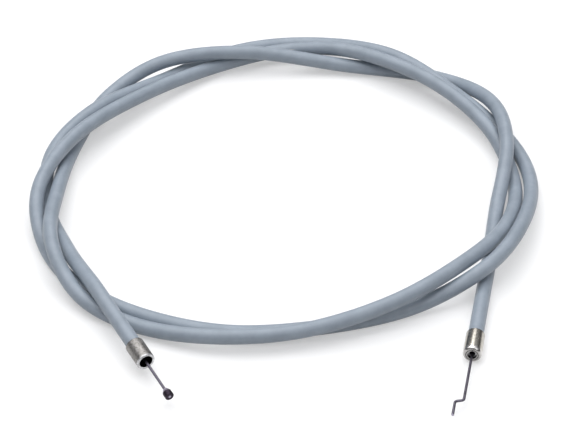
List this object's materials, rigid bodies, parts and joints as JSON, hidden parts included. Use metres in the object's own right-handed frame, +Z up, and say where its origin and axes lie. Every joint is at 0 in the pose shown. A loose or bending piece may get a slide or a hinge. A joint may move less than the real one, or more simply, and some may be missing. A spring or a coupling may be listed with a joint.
{
  "type": "choke cable",
  "caption": "Choke cable in a loose coil: a steel wire that slides in a sheathed conduit, with a soldered nipple at one end, a Z hook at the other and a ferrule on each end of the casing.",
  "frame": {"origin": "on the surface that the coil lies on, under the middle of its bounding box", "axes": "+Z up, +X to the right and -Y towards the viewer of the picture: both ends of the cable point towards -Y"},
  "size_m": [0.173, 0.2092, 0.0129],
  "materials": {
    "pvc_jacket": "satin blue-grey PVC",
    "conduit_steel": "plain flat-wire steel",
    "nickel_plate": "bright nickel plate",
    "dull_plate": "dull grey zinc plate, lightly speckled",
    "wire_steel": "dark oiled steel",
    "nipple_bronze": "darkened solder-dipped bronze"
  },
  "bodies": {
    "casing": {"outer_jacket": "pvc_jacket", "steel_conduit": "conduit_steel", "hook_end_ferrule": "nickel_plate", "nipple_end_ferrule": "dull_plate", "inner_wire_core": "wire_steel"},
    "nipple_end": {"inner_wire_nipple_end": "wire_steel", "cable_nipple": "nipple_bronze"},
    "hook_end": {"inner_wire_hook_end": "wire_steel"}
  },
  "joints": [
    {"name": "nipple_end_slide", "type": "slide", "parent": "casing", "child": "nipple_end", "axis": [0.468, -0.8802, -0.0785], "range_m": [-0.013, 0.02]},
    {"name": "hook_end_slide", "type": "slide", "parent": "casing", "child": "hook_end", "axis": [-0.1736, -0.9848, 0], "range_m": [-0.02, 0.013]}
  ],
  "couplings": [
    {"joint": "hook_end_slide", "follows": "nipple_end_slide", "ratio": -1}
  ]
}
